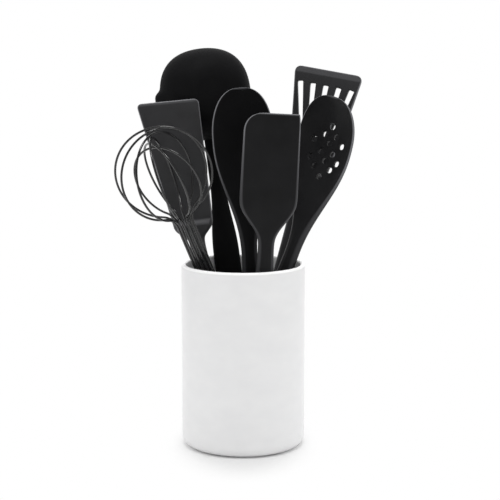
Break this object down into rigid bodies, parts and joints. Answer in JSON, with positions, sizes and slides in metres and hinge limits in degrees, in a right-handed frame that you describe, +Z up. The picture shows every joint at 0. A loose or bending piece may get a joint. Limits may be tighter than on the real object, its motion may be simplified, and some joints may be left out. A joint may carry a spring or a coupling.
{
  "type": "utensil crock with kitchen tools",
  "caption": "Straight white ceramic crock holding a loose set of black silicone kitchen tools: ladle, turners, spoons, spatula and a balloon whisk, each free to lift out.",
  "frame": {"origin": "centre of the crock's flat base", "axes": "+Z up along the crock's axis, -Y towards the viewer of the picture, +X to the right"},
  "size_m": [0.2242, 0.1352, 0.3662],
  "materials": {
    "glaze": "satin white glaze",
    "silicone": "matte black silicone",
    "nylon": "black nylon",
    "wire": "black coated steel wire"
  },
  "bodies": {
    "crock": {"crock": "glaze"},
    "ladle": {"ladle_skin": "silicone", "ladle_core": "nylon"},
    "turner": {"turner_skin": "silicone", "turner_core": "nylon"},
    "solid_spoon": {"solid_spoon_skin": "silicone", "solid_spoon_core": "nylon"},
    "spatula": {"spatula_skin": "silicone", "spatula_core": "nylon"},
    "slotted_spoon": {"slotted_spoon_skin": "silicone", "slotted_spoon_core": "nylon"},
    "slotted_turner": {"slotted_turner_skin": "silicone", "slotted_turner_core": "nylon"},
    "whisk": {"whisk_grip": "silicone", "whisk_core": "nylon", "whisk_wire_1": "wire", "whisk_wire_2": "wire", "whisk_wire_3": "wire", "whisk_wire_4": "wire", "whisk_wire_5": "wire", "whisk_wire_6": "wire"}
  },
  "joints": [
    {"name": "ladle_lift", "type": "slide", "parent": "crock", "child": "ladle", "axis": [-0.125, 0.0032, 0.9922], "range_m": [0, 0.19]},
    {"name": "turner_lift", "type": "slide", "parent": "crock", "child": "turner", "axis": [-0.1925, -0.094, 0.9768], "range_m": [0, 0.19]},
    {"name": "solid_spoon_lift", "type": "slide", "parent": "crock", "child": "solid_spoon", "axis": [-0.0611, 0.0803, 0.9949], "range_m": [0, 0.19]},
    {"name": "spatula_lift", "type": "slide", "parent": "crock", "child": "spatula", "axis": [0.0516, 0.029, 0.9982], "range_m": [0, 0.19]},
    {"name": "slotted_spoon_lift", "type": "slide", "parent": "crock", "child": "slotted_spoon", "axis": [0.3523, 0.1463, 0.9244], "range_m": [0, 0.19]},
    {"name": "slotted_turner_lift", "type": "slide", "parent": "crock", "child": "slotted_turner", "axis": [0.2485, 0.2116, 0.9452], "range_m": [0, 0.19]},
    {"name": "whisk_lift", "type": "slide", "parent": "crock", "child": "whisk", "axis": [-0.3433, -0.2581, 0.903], "range_m": [0, 0.19]}
  ]
}
